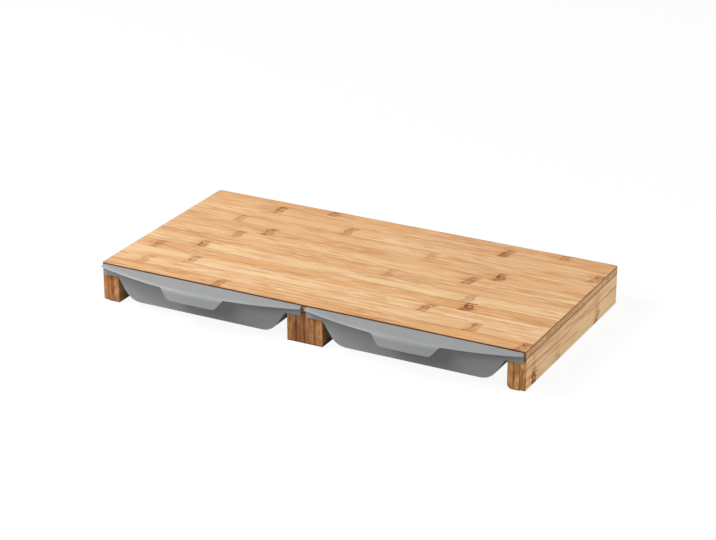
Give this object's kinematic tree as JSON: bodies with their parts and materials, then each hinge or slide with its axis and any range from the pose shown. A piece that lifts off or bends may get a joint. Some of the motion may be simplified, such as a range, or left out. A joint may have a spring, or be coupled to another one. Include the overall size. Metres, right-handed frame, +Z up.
{
  "type": "cutting board with drawer trays",
  "caption": "Bamboo cutting board raised on rails, with moulded trays that slide out from under it like drawers.",
  "frame": {"origin": "on the floor, under the middle of the board, at the underside of the centre rail", "axes": "+X along the board to the right as seen from the trays' tabs, +Y from the front edge to the back edge, +Z up"},
  "size_m": [0.52, 0.2823, 0.046],
  "materials": {
    "bamboo_panel": "oiled bamboo, fine straight grain with node marks",
    "bamboo_rail": "oiled bamboo strips, end grain at the front and back",
    "tray_plastic": "smooth grey moulded plastic, matt"
  },
  "bodies": {
    "board": {"centre_rail_strip_1": "bamboo_rail", "centre_rail_strip_2": "bamboo_rail", "centre_rail_strip_3": "bamboo_rail", "centre_rail_strip_4": "bamboo_rail", "centre_rail_strip_5": "bamboo_rail", "left_rail_strip_1": "bamboo_rail", "left_rail_strip_2": "bamboo_rail", "left_rail_strip_3": "bamboo_rail", "right_rail_strip_1": "bamboo_rail", "right_rail_strip_2": "bamboo_rail", "right_rail_strip_3": "bamboo_rail", "top_stave_01": "bamboo_panel", "top_stave_02": "bamboo_panel", "top_stave_03": "bamboo_panel", "top_stave_04": "bamboo_panel", "top_stave_05": "bamboo_panel", "top_stave_06": "bamboo_panel", "top_stave_07": "bamboo_panel", "top_stave_08": "bamboo_panel", "top_stave_09": "bamboo_panel", "top_stave_10": "bamboo_panel", "top_stave_11": "bamboo_panel", "top_stave_12": "bamboo_panel"},
    "left_tray": {"left_tray": "tray_plastic"},
    "right_tray": {"right_tray": "tray_plastic"}
  },
  "joints": [
    {"name": "left_tray_slide", "type": "slide", "parent": "board", "child": "left_tray", "axis": [0, -1, 0], "range_m": [0, 0.2]},
    {"name": "right_tray_slide", "type": "slide", "parent": "board", "child": "right_tray", "axis": [0, -1, 0], "range_m": [0, 0.2]}
  ]
}
